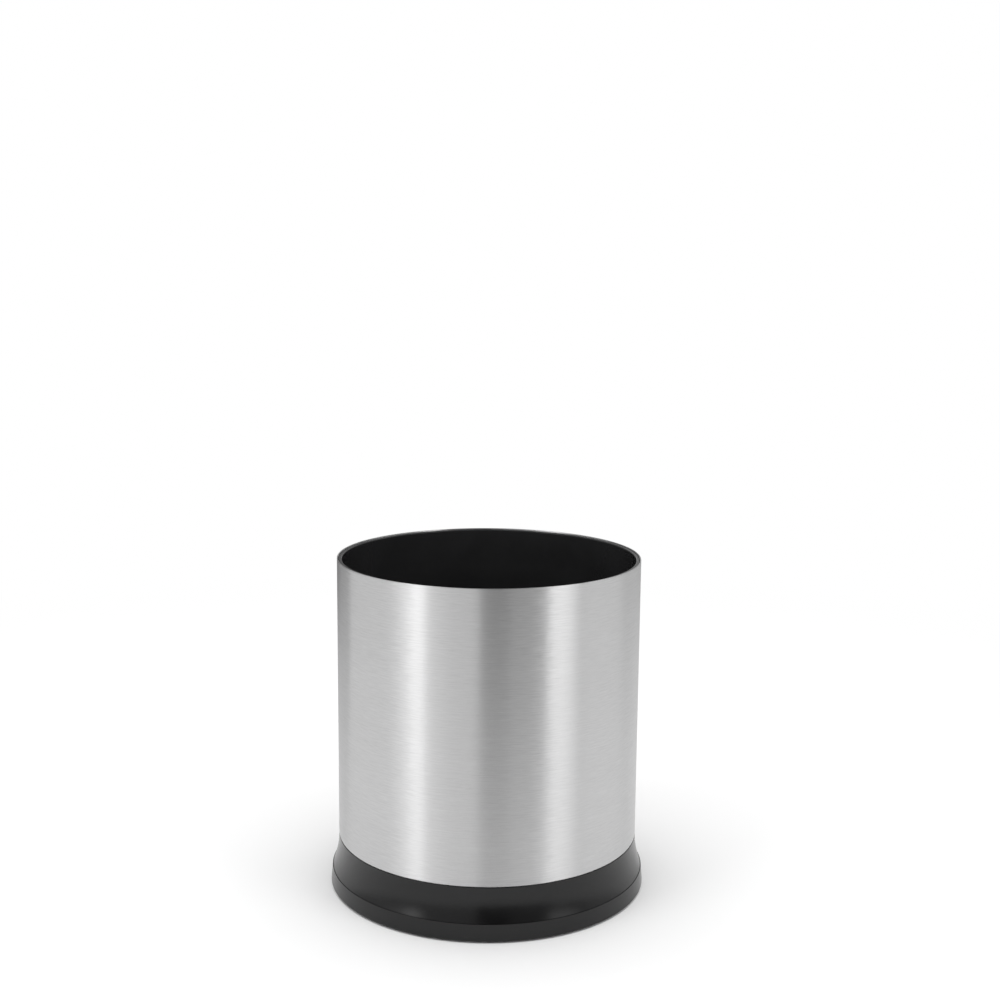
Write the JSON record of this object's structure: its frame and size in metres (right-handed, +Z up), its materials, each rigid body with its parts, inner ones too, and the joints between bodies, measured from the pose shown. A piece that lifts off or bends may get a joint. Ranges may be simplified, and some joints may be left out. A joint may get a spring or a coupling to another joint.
{
  "type": "rotating utensil holder",
  "caption": "Round brushed steel utensil holder on a turntable base, with a black inner cup and lift-out divider walls.",
  "frame": {"origin": "centre of the resting face of the foot ring, on the turning axis", "axes": "+Z up along the turning axis, -Y towards the side that the picture shows"},
  "size_m": [0.1687, 0.1688, 0.1778],
  "materials": {
    "brushed_sleeve": "fine brushing round the cylinder, satin",
    "black_shell": "satin black moulding",
    "black_cup": "smooth black moulding, slight gloss",
    "soft_ring": "matt soft elastomer",
    "race_steel": "bright stamped, lightly oiled",
    "ball_steel": "polished",
    "screw_steel": "zinc plated",
    "acetal": "natural acetal, satin"
  },
  "bodies": {
    "base": {"base_pan": "black_shell", "foot_ring": "soft_ring", "lower_race": "race_steel", "lower_race_screws": "screw_steel", "pivot_bush": "acetal"},
    "cage": {"ball_cage": "acetal", "bearing_balls": "ball_steel"},
    "turret": {"turntable": "black_shell", "upper_race": "race_steel", "upper_race_screws": "screw_steel", "pivot_washer": "screw_steel", "pivot_screw": "screw_steel", "steel_sleeve": "brushed_sleeve", "inner_cup": "black_cup", "cup_screws": "screw_steel", "divider_hub": "black_cup", "hub_screw": "screw_steel"},
    "wall_a": {"divider_wall_a": "black_cup"},
    "wall_b": {"divider_wall_b": "black_cup"},
    "wall_c": {"divider_wall_c": "black_cup"}
  },
  "joints": [
    {"name": "turntable_spin", "type": "hinge", "parent": "base", "child": "turret", "pos_m": [0, 0, 0.01025], "axis": [0, 0, 1], "continuous": true},
    {"name": "cage_spin", "type": "hinge", "parent": "base", "child": "cage", "pos_m": [0, 0, 0.01025], "axis": [0, 0, 1], "continuous": true},
    {"name": "wall_a_lift", "type": "slide", "parent": "turret", "child": "wall_a", "axis": [0, 0, 1], "range_m": [0, 0.155]},
    {"name": "wall_b_lift", "type": "slide", "parent": "turret", "child": "wall_b", "axis": [0, 0, 1], "range_m": [0, 0.155]},
    {"name": "wall_c_lift", "type": "slide", "parent": "turret", "child": "wall_c", "axis": [0, 0, 1], "range_m": [0, 0.155]}
  ],
  "couplings": [
    {"joint": "cage_spin", "follows": "turntable_spin", "ratio": 0.5}
  ]
}
